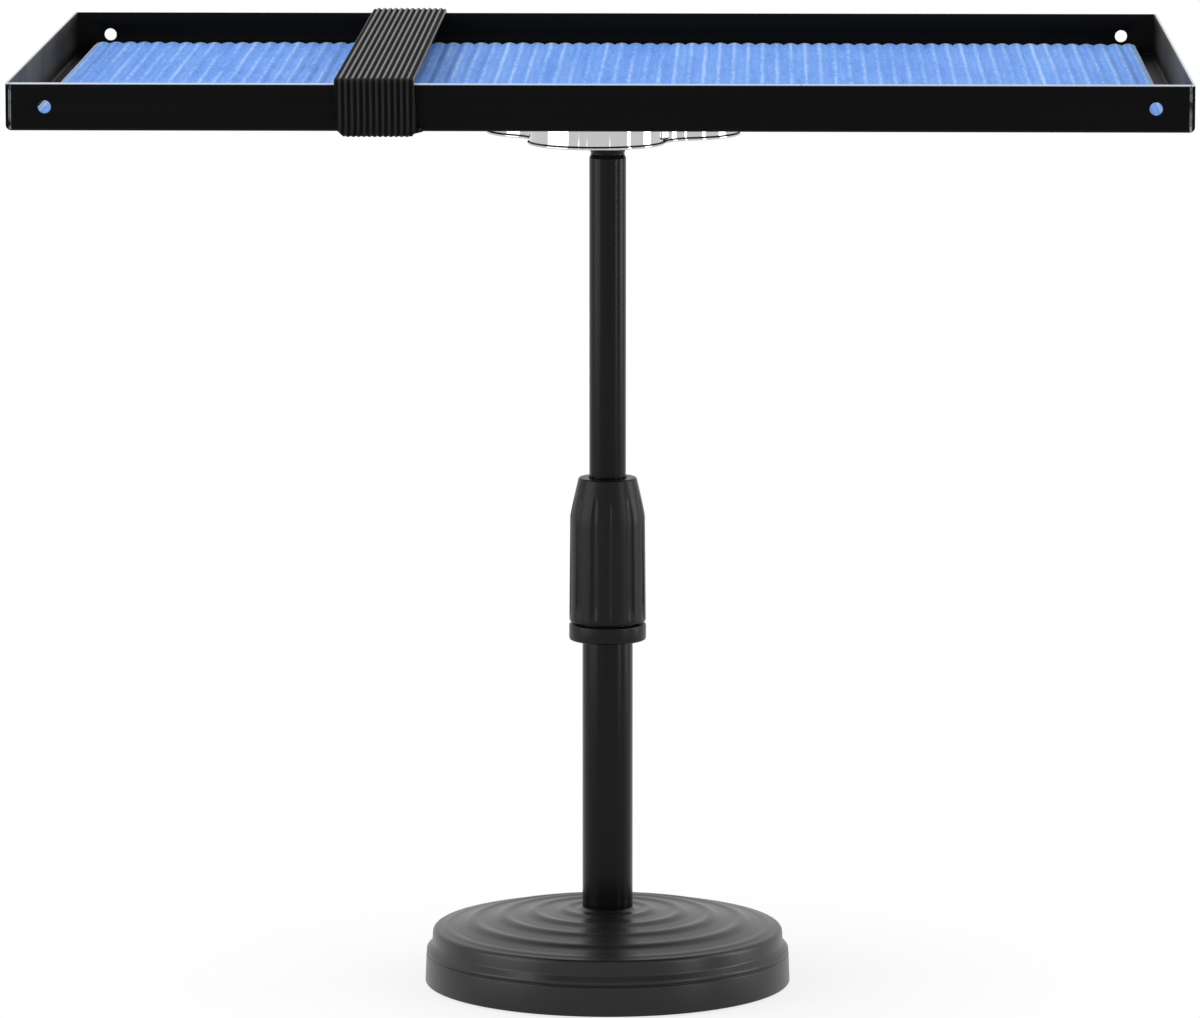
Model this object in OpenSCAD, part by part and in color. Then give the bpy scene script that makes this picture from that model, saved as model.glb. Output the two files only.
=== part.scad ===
// Tray stand: a folded sheet-metal tray with a ribbed mat and an elastic strap, screwed to a
// three-lobed hub on a telescoping pole with a twist clutch and a weighted round base.
// Millimetres, +Z up, origin on the floor under the middle of the pole.

/* [Tray] */
// Outside length of the tray, left to right
tray_l = 490; // [420:10:600]
// Outside depth of the tray, front to back
tray_d = 340; // [240:10:400]
// Outside height of the tray's walls
tray_h = 20; // [16:1:30]
// Thickness of the tray's sheet
sheet_t = 1.5; // [1:0.1:2]
// Outside radius of the tray's folds
fold_r = 2.6; // [2.2:0.1:4]
// Width of the seam at each corner of the tray
seam_w = 0.5; // [0.2:0.1:1]
// Diameter of the holes in the front and rear walls
wall_hole_d = 5.5; // [3:0.5:7]
// Distance of the wall holes from the tray's ends
wall_hole_inset = 16; // [12:1:40]
// Height of the tray's underside above the ground, as the pole is set
tray_z = 392; // [386:1:400]

/* [Mat] */
// Thickness of the mat
mat_t = 6; // [4:0.5:8]
// Gap between the mat's ends and the tray's end walls
mat_end_gap = 8; // [4:1:20]
// Gap between the mat and the tray's front and rear walls
mat_side_gap = 3; // [1:1:10]
// Corner radius of the mat
mat_corner_r = 5; // [2:1:12]

/* [Strap] */
// Width of the elastic strap
strap_w = 33; // [20:1:50]
// Thickness of the elastic strap
strap_t = 2; // [1:0.2:2.4]
// Outside radius of the strap's bends
strap_bend_r = 3; // [2.6:0.2:5]
// Distance of the strap's middle from the pole, towards the tray's left end
strap_x = 93; // [88:1:150]

/* [Hub] */
// Radius of each of the hub's lobes
lobe_r = 29; // [25:1:31]
// Distance of each lobe's centre from the pole
lobe_c = 30; // [28:1:33]
// Radius of the hollows between the lobes
hollow_r = 18; // [14:1:24]
// Angle by which the lobes are turned round the pole
lobe_turn = -8; // [-30:1:30]
// Height of the hub
hub_h = 16; // [14:1:20]
// Thickness of the hub's walls and top
hub_wall = 3; // [2:0.5:4]
// How far the bead stands out round the hub's lower edge
bead_out = 0.8; // [0.4:0.1:1.2]
// Diameter of the hub's threaded boss
boss_d = 28; // [24:1:32]
// Thickness of the mounting plate between the hub and the tray
plate_t = 3; // [2:0.5:4]
// Diameter of the mounting plate
plate_d = 120; // [110:1:124]
// Shank diameter of the hub's screws
screw_d = 5; // [4:0.5:6]
// Distance of the hub's screws from the pole
screw_c = 36; // [32:1:42]

/* [Pole] */
// Outside diameter of the upper tube
upper_d = 16; // [14.5:0.5:17]
// Wall thickness of the upper tube
upper_wall = 1.2; // [0.8:0.1:1.4]
// Length of the upper tube
upper_l = 235; // [225:1:238]
// Outside diameter of the lower tube
lower_d = 22; // [21.5:0.5:23]
// Wall thickness of the lower tube
lower_wall = 1.5; // [1:0.1:1.6]
// Diameter of the thread at the pole's top
thread_d = 15.8; // [12:0.1:16]
// Length of the thread at the pole's top
thread_l = 12; // [8:0.5:12.5]

/* [Clutch] */
// Height of the clutch's lower face above the ground
clutch_z = 152.5; // [148:0.5:156]
// Height of the fixed collar at the clutch's foot
collar_h = 7.3; // [5:0.1:9]
// Outside diameter of the fixed collar
collar_d = 33.6; // [33:0.1:38]
// Length of the collar's neck inside the grip
neck_h = 23; // [18:1:24]
// Wall thickness of the collar's neck
neck_wall = 2.6; // [2:0.1:2.9]
// Height of the split collet
collet_h = 21; // [18:1:22]
// Height of the twist grip
grip_h = 63.4; // [62:0.2:68]
// Outside diameter of the twist grip at its foot
grip_d = 33.4; // [33:0.1:37]
// Outside diameter of the twist grip at its top
grip_top_d = 25.2; // [24:0.1:26]
// Height of the grip's tapered nose
nose_h = 17; // [14:0.5:17.5]
// Number of grooves round the grip
flutes = 12; // [8:1:16]
// Depth of the grip's grooves
flute_depth = 0.9; // [0.5:0.1:1.1]
// Angle by which the grooves are turned round the grip
flute_turn = 10; // [0:1:30]

/* [Base] */
// Diameter of the base
base_d = 160; // [150:1:190]
// Height of the base's crown above the ground
base_h = 33; // [31:0.5:36]
// Height of the crease round the base's rim
rim_h = 13.9; // [12:0.1:14.5]
// Width of the base's solid rim
rim_w = 12; // [10.5:0.5:18]
// Depth of the dome from its crown to the shoulder
dome_drop = 8; // [7:0.5:9.5]
// Height of the base's rings above the dome
ripple_h = 0.35; // [0.1:0.05:0.6]
// Radius of the base's innermost ring
ripple_r = 18.5; // [16:0.5:24]
// Distance from each ring of the base to the next
ripple_pitch = 13.5; // [9:0.5:16]
// Height of the hollow under the base
recess_h = 14; // [12:0.5:15]
// Thickness of the ribs under the base
rib_t = 5; // [3:0.5:8]
// Number of ribs under the base
ribs = 6; // [4:1:8]
// Thickness of the rubber pad under the base
pad_t = 3; // [2:0.2:3.6]
// Height that the rubber pad stands out below the casting
pad_out = 0.8; // [0.4:0.1:1.5]
// Shank diameter of the base's bolt
bolt_d = 8; // [6:1:10]

/* [Hidden] */
$fn = 96;

// Radial clearances: of pieces that turn or slide, that are pressed or screwed together,
// and of pieces that never touch
running = 0.08;
pressed = 0.05;
loose = 0.3;
// How far a cutting shape reaches past the face that it cuts
over = 1;

// Base
base_r = base_d / 2;
rim_draft = 0.5;
rim_edge = 0.4;
crease = 0.8;
bead_r = 1.4;
bead_inset = 0.6;
step_h = 4.2;
shoulder_r = base_r - 3.4;
shoulder_round = 4;
dome_r = shoulder_r - shoulder_round;
dome_power = 2.2;
dome_steps = 30;
foot_rise = 0.8;
foot_w = 2;
socket_h = 4;
socket_z = base_h - socket_h;
base_boss_r = 20;
base_boss_z = 12;
rib_z = 5;
pad_r = base_r - rim_w / 2;
pad_edge = 0.6;
bolt_l = 30;
bolt_head_h = 5.5;
bolt_head_af = 1.6 * bolt_d;
washer_t = 1.6;
washer_r = 10;
bolt_seat_z = base_boss_z - washer_t;

// Pole and clutch
lower_r = lower_d / 2;
lower_bore = lower_r - lower_wall;
plug_h = 16;
upper_r = upper_d / 2;
upper_bore = upper_r - upper_wall;
bush_foot = 2;
bush_h = 18;
stop_t = 3;
neck_r = lower_r + neck_wall;
collar_top = clutch_z + collar_h;
neck_top = collar_top + neck_h;
lower_top = neck_top - stop_t;
grip_gap = 0.8;
grip_z = collar_top + grip_gap;
grip_bore = neck_r + running;
nose_z = grip_z + grip_h - nose_h;
nose_r = grip_d / 2 - 0.4;
flute_r = 2.2;
flute_foot = 2.4;
flute_c = grip_d / 2 - flute_depth + flute_r;
collet_top = neck_top + collet_h;
collet_r = upper_r + 4.4;
collet_taper = 8;
collet_tip_r = upper_r + 2.4;
collet_slot = 1.6;
collet_slots = 4;
ring_wall = 1.4;
thrust_h = 7;
crimp_drop = 6;
crimp_depth = 0.4;
crimp_r = 0.9;

// Tray, hub and the pole's top
seam_depth = sheet_t / 2;
hub_top = tray_z - plate_t;
hub_z = hub_top - hub_h;
boss_rise = 1;
boss_face = hub_z + boss_rise;
swivel_t = 0.8;
flange_t = 1.4;
flange_r = upper_r + 0.4;
upper_top = boss_face - swivel_t - flange_t;
upper_z = upper_top - upper_l;
spigot_l = 18;
bead_h = 1.6;
screw_pad_t = 1.5;
screw_head_r = 0.95 * screw_d;
screw_head_h = 0.7 * screw_d;
screw_seat = hub_top - hub_wall - screw_pad_t;
hollow_c = lobe_c / 2 + sqrt(pow(lobe_r + hollow_r, 2) - 3 / 4 * pow(lobe_c, 2));
lobe_arc = atan2(hollow_c * sin(60), hollow_c * cos(60) - lobe_c);
lobe_steps = 28;
hollow_steps = 9;
first_lobe = lobe_turn - 90;

// Points along an arc of radius r round [x, y], from angle a to angle b
function arc(x, y, r, a, b, steps = 8) = [
    for (i = [0:steps])
        let (t = a + (b - a) * i / steps) [x + r * cos(t), y + r * sin(t)]
];

// Height of the dome at a distance r from the pole, with its rings
function dome(r) = base_h - dome_drop * pow(r / dome_r, dome_power)
    + ripple_h * cos(360 * (r - ripple_r) / ripple_pitch) * min(1, (dome_r - r) / 4);

// A tube standing on z, of outer radius r and bore b
module tube(z, h, r, b) {
    translate([0, 0, z]) {
        difference() {
            cylinder(h = h, r = r);
            translate([0, 0, -over]) cylinder(h = h + 2 * over, r = b);
        }
    }
}

// A flat plate outline with round corners
module rounded(w, h, r) {
    square([w - 2 * r, h], center = true);
    square([w, h - 2 * r], center = true);
    for (x = [-1, 1]) {
        for (y = [-1, 1]) {
            translate([x * (w / 2 - r), y * (h / 2 - r)]) circle(r);
        }
    }
}

// ---- Base ----

module base_outline() {
    polygon(concat(
        [[0, pad_out], [base_r, pad_out]],
        arc(base_r - rim_draft - rim_edge, rim_h - 2 * rim_edge, rim_edge, 0, 60, 3),
        [[base_r - rim_draft - crease, rim_h]],
        arc(base_r - bead_inset - bead_r, rim_h + bead_r, bead_r, -40, 50),
        [[shoulder_r + 0.3, rim_h + step_h]],
        arc(dome_r, dome(dome_r) - shoulder_round, shoulder_round, 0, 80),
        [for (i = [0:dome_steps])
            let (r = dome_r - (dome_r - lower_r - foot_w) * i / dome_steps) [r, dome(r)]],
        [[lower_r + pressed, base_h + foot_rise], [0, base_h + foot_rise]]
    ));
}

module base() {
    color("#26282a") {
        difference() {
            rotate_extrude() base_outline();
            tube(pad_t, recess_h - pad_t, base_r - rim_w, base_boss_r);
            translate([0, 0, pad_t]) cylinder(h = base_boss_z - pad_t, r = base_boss_r + over);
            translate([0, 0, -over]) cylinder(h = pad_t + pressed + over, r = pad_r + pressed);
            cylinder(h = base_h, r = bolt_d / 2 + loose);
            translate([0, 0, socket_z]) cylinder(h = base_h, r = lower_r + pressed);
        }
        for (i = [0:ribs - 1]) {
            rotate(360 / ribs * (i + 0.5)) {
                translate([base_boss_r - over, -rib_t / 2, rib_z]) {
                    cube([base_r - rim_w - base_boss_r + 2 * over, rib_t, recess_h - rib_z + over]);
                }
            }
        }
    }
}

module base_pad() {
    color("#1b1b1c") {
        rotate_extrude() {
            polygon([[0, 0], [pad_r - pad_edge, 0], [pad_r, pad_edge], [pad_r, pad_t], [0, pad_t]]);
        }
    }
}

module base_bolt() {
    color("#8f9296") {
        translate([0, 0, bolt_seat_z - bolt_head_h]) {
            cylinder(h = bolt_head_h, r = bolt_head_af / sqrt(3), $fn = 6);
        }
        translate([0, 0, bolt_seat_z]) cylinder(h = bolt_l, r = bolt_d / 2);
    }
}

module base_washer() {
    color("#a4a7ab") tube(bolt_seat_z, washer_t, washer_r, bolt_d / 2 + loose);
}

// ---- Pole ----

module lower_tube() {
    color("#1f2122") tube(socket_z, lower_top - socket_z, lower_r, lower_bore);
}

module lower_plug() {
    color("#9b9ea2") tube(socket_z, plug_h, lower_bore - pressed, bolt_d / 2 + pressed);
}

module upper_tube() {
    color("#1f2122") {
        difference() {
            tube(upper_z, upper_l, upper_r, upper_bore);
            rotate_extrude() {
                translate([upper_r + crimp_r - crimp_depth, upper_top - crimp_drop]) circle(crimp_r);
            }
        }
    }
}

module guide_bush() {
    color("#2b2d30") {
        difference() {
            tube(upper_z - bush_foot, bush_h, lower_bore - running, upper_bore);
            translate([0, 0, upper_z]) cylinder(h = bush_h, r = upper_r + pressed);
        }
    }
}

module thread_plug() {
    color("#b9bcc0") {
        translate([0, 0, upper_top - spigot_l]) {
            cylinder(h = spigot_l, r = upper_bore - pressed);
        }
        translate([0, 0, upper_top]) cylinder(h = flange_t, r = flange_r);
        translate([0, 0, upper_top + flange_t]) cylinder(h = thread_l, r = thread_d / 2);
    }
}

module swivel_washer() {
    color("#4a3a2a") tube(boss_face - swivel_t, swivel_t, upper_r + 2.4, thread_d / 2 + loose);
}

// ---- Clutch ----

module clutch_collar() {
    color("#191a1b") {
        difference() {
            rotate_extrude() {
                polygon(concat(
                    [[0, clutch_z]],
                    arc(collar_d / 2 - 1, clutch_z + 1, 1, -90, 0),
                    arc(collar_d / 2 - 0.8, collar_top - 0.8, 0.8, 0, 90),
                    [[neck_r, collar_top], [neck_r, neck_top], [0, neck_top]]
                ));
            }
            translate([0, 0, clutch_z - over]) {
                cylinder(h = lower_top - clutch_z + over, r = lower_r + pressed);
            }
            translate([0, 0, lower_top - over]) {
                cylinder(h = stop_t + 2 * over, r = upper_r + loose);
            }
        }
    }
}

module clutch_collet() {
    color("#d8d5c8") {
        difference() {
            rotate_extrude() {
                polygon([
                    [upper_r + running, neck_top], [collet_r, neck_top],
                    [collet_r, collet_top - collet_taper], [collet_tip_r, collet_top],
                    [upper_r + running, collet_top]
                ]);
            }
            for (i = [0:collet_slots - 1]) {
                rotate(360 / collet_slots * i) {
                    translate([0, -collet_slot / 2, neck_top + (i == 0 ? -over : collet_h / 3)]) {
                        cube([collet_r + over, collet_slot, collet_h + 2 * over]);
                    }
                }
            }
        }
    }
}

module clutch_ring() {
    top = collet_top + loose;
    color("#b08a45") {
        rotate_extrude() {
            polygon([
                [upper_r + loose, top], [upper_r + loose, top + ring_wall],
                [grip_bore - loose, top + ring_wall], [grip_bore - loose, top - thrust_h],
                [collet_r + loose, top - thrust_h], [collet_tip_r + loose, top]
            ]);
        }
    }
}

module clutch_grip() {
    top = grip_z + grip_h;
    bore_top = collet_top + ring_wall + 2 * loose;
    color("#161718") {
        difference() {
            rotate_extrude() {
                polygon(concat(
                    [[0, grip_z]],
                    arc(grip_d / 2 - 1.2, grip_z + 1.2, 1.2, -90, 0),
                    [[nose_r, nose_z]],
                    arc(grip_top_d / 2 - 1, top - 1, 1, 12, 90),
                    [[0, top]]
                ));
            }
            translate([0, 0, grip_z - over]) cylinder(h = bore_top - grip_z + over, r = grip_bore);
            translate([0, 0, grip_z]) cylinder(h = grip_h + over, r = upper_r + loose);
            for (i = [0:flutes - 1]) {
                rotate(360 / flutes * i + flute_turn) {
                    translate([flute_c, 0, grip_z + flute_foot]) {
                        cylinder(h = grip_h, r = flute_r, $fn = 32);
                    }
                }
            }
        }
    }
}

// ---- Hub ----

// The hub's three-lobed outline, grown outwards by a width: each lobe's arc runs on into a hollow's
module trefoil(grow) {
    polygon([
        for (i = [0:2])
            let (
                lobe = arc(lobe_c * cos(120 * i), lobe_c * sin(120 * i), lobe_r + grow,
                    120 * i - lobe_arc, 120 * i + lobe_arc, lobe_steps),
                hollow = arc(hollow_c * cos(120 * i + 60), hollow_c * sin(120 * i + 60), hollow_r - grow,
                    120 * i + 180 + lobe_arc, 120 * i + 300 - lobe_arc, hollow_steps)
            )
            each concat(lobe, [for (k = [1:hollow_steps - 1]) hollow[k]])
    ]);
}

// Places its children at one of the hub's screws
module at_screw(i) {
    rotate(first_lobe + 120 * i) translate([screw_c, 0, 0]) children();
}

module hub() {
    color("#d4d7da") {
        difference() {
            translate([0, 0, hub_z]) {
                rotate(first_lobe) {
                    linear_extrude(hub_h) trefoil(0);
                    linear_extrude(bead_h) trefoil(bead_out);
                }
            }
            difference() {
                translate([0, 0, hub_z - over]) {
                    rotate(first_lobe) linear_extrude(hub_h - hub_wall + over) trefoil(-hub_wall);
                }
                translate([0, 0, boss_face]) cylinder(h = hub_h, r = boss_d / 2);
                for (i = [0:2]) {
                    at_screw(i) translate([0, 0, screw_seat]) cylinder(h = hub_h, r = 7);
                    rotate(first_lobe + 120 * i + 60) {
                        translate([0, -hub_wall / 2, hub_z + 5]) cube([hollow_c, hub_wall, hub_h]);
                    }
                }
            }
            translate([0, 0, hub_z - over]) {
                cylinder(h = hub_h + 2 * over, r = thread_d / 2 + running);
            }
            for (i = [0:2]) {
                at_screw(i) translate([0, 0, hub_z]) cylinder(h = hub_h + over, r = screw_d / 2 + pressed);
            }
        }
    }
}

module hub_screw(i) {
    color("#8f9296") {
        at_screw(i) {
            translate([0, 0, screw_seat - screw_head_h]) {
                cylinder(h = screw_head_h, r = screw_head_r);
            }
            translate([0, 0, screw_seat]) {
                cylinder(h = tray_z - screw_seat - loose, r = screw_d / 2);
            }
        }
    }
}

module mounting_plate() {
    color("#2a2c2e") {
        difference() {
            translate([0, 0, hub_top]) cylinder(h = plate_t, r = plate_d / 2);
            for (i = [0:2]) {
                at_screw(i) {
                    translate([0, 0, hub_top - over]) {
                        cylinder(h = plate_t + 2 * over, r = screw_d / 2 + pressed);
                    }
                }
            }
        }
    }
}

// ---- Tray ----

// A cup outline of width w, with round lower corners of radius r
module cup(w, r) {
    translate([-w / 2, r]) square([w, tray_h - r]);
    translate([r - w / 2, 0]) square([w - 2 * r, tray_h]);
    for (side = [-1, 1]) {
        translate([side * (w / 2 - r), r]) circle(r);
    }
}

// The sheet bent up at both sides of a floor of width w
module channel(w) {
    difference() {
        cup(w, fold_r);
        translate([0, sheet_t]) cup(w - 2 * sheet_t, fold_r - sheet_t);
    }
}

// Stretches an outline along the tray's depth, or along its length
module along_depth() {
    rotate([90, 0, 0]) linear_extrude(tray_d + 2 * over, center = true) children();
}

module along_length() {
    rotate([90, 0, 90]) linear_extrude(tray_l + 2 * over, center = true) children();
}

module tray() {
    color("#202224") {
        translate([0, 0, tray_z]) {
            difference() {
                intersection() {
                    union() {
                        along_depth() channel(tray_l);
                        along_length() channel(tray_d);
                    }
                    along_depth() cup(tray_l, fold_r);
                    along_length() cup(tray_d, fold_r);
                }
                for (end = [-1, 1]) {
                    translate([end * (tray_l / 2 - wall_hole_inset), 0, tray_h / 2]) {
                        rotate([90, 0, 0]) {
                            cylinder(h = tray_d + 2 * over, r = wall_hole_d / 2, center = true);
                        }
                    }
                    for (side = [-1, 1]) {
                        translate([
                            end * (tray_l / 2 - sheet_t - seam_w / 2), side * tray_d / 2,
                            tray_h / 2 + fold_r
                        ]) {
                            cube([seam_w, 2 * seam_depth, tray_h], center = true);
                        }
                    }
                }
            }
        }
    }
}

module mat() {
    w = tray_l - 2 * (sheet_t + mat_end_gap);
    d = tray_d - 2 * (sheet_t + mat_side_gap);
    color("#8fb4e8") {
        translate([0, 0, tray_z + sheet_t]) linear_extrude(mat_t) rounded(w, d, mat_corner_r);
    }
}

module strap() {
    inner_d = tray_d + 2 * loose;
    inner_h = tray_h + 2 * loose;
    color("#1a1b1c") {
        translate([-strap_x, 0, tray_z + tray_h / 2]) {
            rotate([90, 0, 90]) {
                linear_extrude(strap_w, center = true) {
                    difference() {
                        rounded(inner_d + 2 * strap_t, inner_h + 2 * strap_t, strap_bend_r);
                        rounded(inner_d, inner_h, strap_bend_r - strap_t);
                    }
                }
            }
        }
    }
}

base();
base_pad();
base_bolt();
base_washer();
lower_tube();
lower_plug();
clutch_collar();
clutch_collet();
clutch_ring();
clutch_grip();
upper_tube();
guide_bush();
thread_plug();
swivel_washer();
hub();
hub_screw(0);  // hub_screw_1
hub_screw(1);  // hub_screw_2
hub_screw(2);  // hub_screw_3
mounting_plate();
tray();
mat();
strap();
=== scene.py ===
"""The visible pieces of a tray stand: tray, ribbed mat, elastic band, hub, pole and base."""

import math

import bmesh
import bpy
from bpy.props import FloatProperty, FloatVectorProperty, IntProperty, PointerProperty
from bpy.types import Operator, Panel, PropertyGroup
from mathutils import Matrix, Vector, noise


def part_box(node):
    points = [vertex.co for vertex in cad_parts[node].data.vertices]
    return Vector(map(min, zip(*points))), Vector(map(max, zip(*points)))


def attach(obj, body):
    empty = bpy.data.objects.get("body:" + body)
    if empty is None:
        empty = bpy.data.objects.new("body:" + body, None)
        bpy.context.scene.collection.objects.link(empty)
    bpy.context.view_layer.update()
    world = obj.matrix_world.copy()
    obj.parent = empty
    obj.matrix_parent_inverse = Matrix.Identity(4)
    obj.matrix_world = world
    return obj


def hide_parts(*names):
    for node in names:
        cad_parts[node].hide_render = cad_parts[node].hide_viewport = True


bl_info = {
    "name": "Tray Stand",
    "version": (1, 0, 0),
    "blender": (4, 5, 0),
    "location": "View3D > Sidebar > Tray Stand",
    "description": "Builds the visible pieces of a tray on a telescopic stand",
    "category": "Object",
}

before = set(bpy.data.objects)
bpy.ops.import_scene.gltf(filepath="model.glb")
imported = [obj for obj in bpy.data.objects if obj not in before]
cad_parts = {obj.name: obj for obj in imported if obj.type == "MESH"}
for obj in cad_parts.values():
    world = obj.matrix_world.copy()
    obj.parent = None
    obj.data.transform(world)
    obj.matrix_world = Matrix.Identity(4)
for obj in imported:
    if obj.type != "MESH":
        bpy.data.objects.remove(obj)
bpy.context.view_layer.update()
MM = 0.001

FLOOR_RADIUS = 0.62
FLOOR_DROP = 0.2 * MM  # the floor lies just under the sole
SHADOW_REACH = (0.08, 0.22)  # the shadow is full inside the first and gone past the second
SHADOW_WHITE = 0.80  # how white the floor stays where its shadow is full
WORLD_LEVEL = 0.65
KEY_PLACE, KEY_AIM, KEY_SIZE, KEY_POWER = (-1.15, -0.1, 2.15), (0, 0, 0.4), (0.42, 0.42), 10
LAMP_REACH = 2.1  # distance of the standing lamps from the pole
STANDING_LAMPS = (  # name, degrees round from the front, height of the foot, width, height, watts
    ("left_box", -68, -0.05, 1.6, 2.0, 27.0),
    ("right_strip_a", 57, -0.05, 0.16, 2.0, 11.0),
    ("right_strip_b", 97, -0.05, 0.62, 2.0, 19.0),
    ("thin_strip_a", -29, 0.0, 0.05, 0.4, 0.2),
    ("thin_strip_b", -15, 0.0, 0.04, 0.4, 0.12),
    ("thin_strip_c", 23, 0.0, 0.04, 0.4, 0.12),
)


# ---- Sizes and colours ----


def length(name, description, default_mm):
    """A length property whose default is given in millimetres."""
    return FloatProperty(
        name=name,
        description=description,
        default=default_mm * MM,
        min=0.0,
        precision=5,
        subtype="DISTANCE",
        unit="LENGTH",
    )


def angle(name, description, default_degrees):
    """An angle property whose default is given in degrees."""
    return FloatProperty(
        name=name, description=description, default=math.radians(default_degrees), subtype="ANGLE"
    )


def colour(name, description, *default):
    """A colour property."""
    return FloatVectorProperty(
        name=name, description=description, default=default, min=0, max=1, subtype="COLOR"
    )


def node_mm(node, axis):
    """The lowest and highest place of a CAD node along an axis, in millimetres."""
    low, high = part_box(node)
    return low[axis] / MM, high[axis] / MM


class BaseSizes(PropertyGroup):
    """The round weighted base."""

    radius: length("Radius", "Radius of the base at its foot", node_mm("base", 0)[1] + 0.05)
    crease: length("Crease", "Height of the crease round the rim", 13.9)
    step: length("Step", "Height of the sloping step above the crease", 4.2)
    dome_drop: length("Dome drop", "Depth of the dome from crown to shoulder", 8)
    ring: length("Ring height", "Height of the rings above the dome", 0.5)
    ring_radius: length("First ring", "Radius of the innermost ring", 18.5)
    ring_pitch: length("Ring pitch", "Distance from each ring to the next", 13.5)
    hollow: length("Hollow", "Height of the hollow under the base", 14)
    rib: length("Rib", "Thickness of the ribs in the hollow", 5)


class PoleSizes(PropertyGroup):
    """The two tubes."""

    upper_wall: length("Upper wall", "Wall thickness of the upper tube", 1.2)
    lower_wall: length("Lower wall", "Wall thickness of the lower tube", 1.5)
    crimp_drop: length("Crimp", "Distance of the rolled crimp below the upper tube's end", 6)
    crimp_depth: length("Crimp depth", "Depth of the rolled crimp", 0.8)


class ClutchSizes(PropertyGroup):
    """The twist clutch."""

    flutes: IntProperty(name="Grooves", description="Grooves round the grip", default=12, min=3)
    flute_depth: length("Groove depth", "Depth of the grip's grooves", 0.9)
    flute_radius: length("Groove radius", "Radius of the grip's grooves", 2.2)
    flute_run: length("Groove run", "How far the grooves run up the nose", 9)
    flute_turn: angle("Groove turn", "Turn of the grooves", 10)
    nose: length("Nose", "Height of the grip's tapered nose", 17)
    nose_radius: length("Nose radius", "Radius of the grip's top", 12.6)
    neck_radius: length("Neck radius", "Radius of the collar's neck", 13.6)


class HubSizes(PropertyGroup):
    """The three-lobed hub."""

    lobe: length("Lobe radius", "Radius of each lobe", 29)
    reach: length("Lobe reach", "Distance of each lobe's centre from the pole", 30)
    hollow: length("Hollow radius", "Radius of the hollows between the lobes", 18)
    wall: length("Wall", "Thickness of the hub's skirt and top", 3)
    screw_head: length("Screw head", "Height of the screw heads under the hub", 3.5)
    turn: angle("Turn", "Turn of the lobes", -8)


class MatSizes(PropertyGroup):
    """The ribbed mat."""

    ribs: IntProperty(name="Ribs", description="Ribs from end to end", default=74, min=10)
    rib_height: length("Rib height", "Height of the ribs above the grooves", 0.8)
    scallop: length("Scallop", "How far the grooves draw the cut edges in", 0.9)
    unevenness: length("Unevenness", "How far the cut edges and the ribs wander", 0.3)


class BandSizes(PropertyGroup):
    """The elastic band."""

    ribs: IntProperty(name="Ribs", description="Ribs across the band", default=12, min=3)
    rib_height: length("Rib height", "Height of the band's ribs", 0.95)
    bend: length("Bend radius", "Outer radius of the band's bends", 3)
    lean: length("Lean", "How far the front of the band leans sideways at its foot", 1.5)
    gather: length("Gather", "How far each edge draws in under the tray", 2.2)


class Finishes(PropertyGroup):
    """The colours of the finishes."""

    powder: colour("Powder coat", "Satin black coat of the base", 0.0048, 0.0049, 0.0049)
    tray_coat: colour("Tray coat", "Black coat of the tray", 0.0032, 0.0031, 0.0031)
    tube_paint: colour("Tube paint", "Black paint of the tubes", 0.0016, 0.0017, 0.0016)
    plastic: colour("Plastic", "Black plastic of the clutch", 0.0030, 0.0032, 0.0031)
    chrome: colour("Chrome", "Chrome of the hub", 0.55, 0.556, 0.554)
    mat: colour("Mat", "Light blue of the mat", 0.245, 0.475, 0.96)
    mat_dark: colour("Mat mottle", "Darker blue of the mat's mottle", 0.075, 0.235, 0.72)
    # this pale colour is a painted highlight on the mat's rib crests and cut edges, where it partly
    # shows the foam's paler inside
    mat_highlight_and_core: colour("Mat core", "Pale core that shows at the mat's cut edges", 0.62, 0.78, 0.97)
    yarn: colour("Yarn", "Dark yarn of the band", 0.0012, 0.0012, 0.0012)
    # painted highlight: this lighter yarn is painted on the crowns of the band's ribs
    yarn_highlight: colour("Rib yarn", "Lighter yarn on top of the band's ribs", 0.012, 0.012, 0.0115)


class StageSizes(PropertyGroup):
    """The camera's place."""

    distance: length("Distance", "Distance of the camera in front of the pole", 3481.5)
    side: length("Side", "Distance of the camera to the right of the pole", 69.6)
    height: length("Height", "Height of the camera above the ground", 725.4)
    pitch: angle("Pitch", "Downward tilt", 8.42)
    yaw: angle("Yaw", "Turn to the left", 1.2)
    lens: FloatProperty(
        name="Lens", description="Focal length in millimetres", default=242.2, min=10.0
    )


class StandSettings(PropertyGroup):
    """All the settings of the tray stand."""

    base: PointerProperty(type=BaseSizes)
    pole: PointerProperty(type=PoleSizes)
    clutch: PointerProperty(type=ClutchSizes)
    hub: PointerProperty(type=HubSizes)
    mat: PointerProperty(type=MatSizes)
    band: PointerProperty(type=BandSizes)
    finish: PointerProperty(type=Finishes)
    stage: PointerProperty(type=StageSizes)


# ---- Shader maths ----


class Value:
    """A shader socket on which arithmetic adds Math nodes."""

    def __init__(self, shader, socket):
        self.shader = shader
        self.socket = socket

    def _math(self, operation, *values):
        return self.shader.add("ShaderNodeMath", {"operation": operation}, *values)

    def __add__(self, other):
        return self._math("ADD", self, other)

    def __sub__(self, other):
        return self._math("SUBTRACT", self, other)

    def __rsub__(self, other):
        return self._math("SUBTRACT", other, self)

    def __mul__(self, other):
        return self._math("MULTIPLY", self, other)

    def __truediv__(self, other):
        return self._math("DIVIDE", self, other)

    def __rtruediv__(self, other):
        return self._math("DIVIDE", other, self)

    def sin(self):
        """The sine of the value."""
        return self._math("SINE", self)

    def abs(self):
        """The value without its sign."""
        return self._math("ABSOLUTE", self)

    def fract(self):
        """The part of the value past the whole number."""
        return self._math("FRACT", self)

    __radd__ = __add__
    __rmul__ = __mul__


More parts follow.
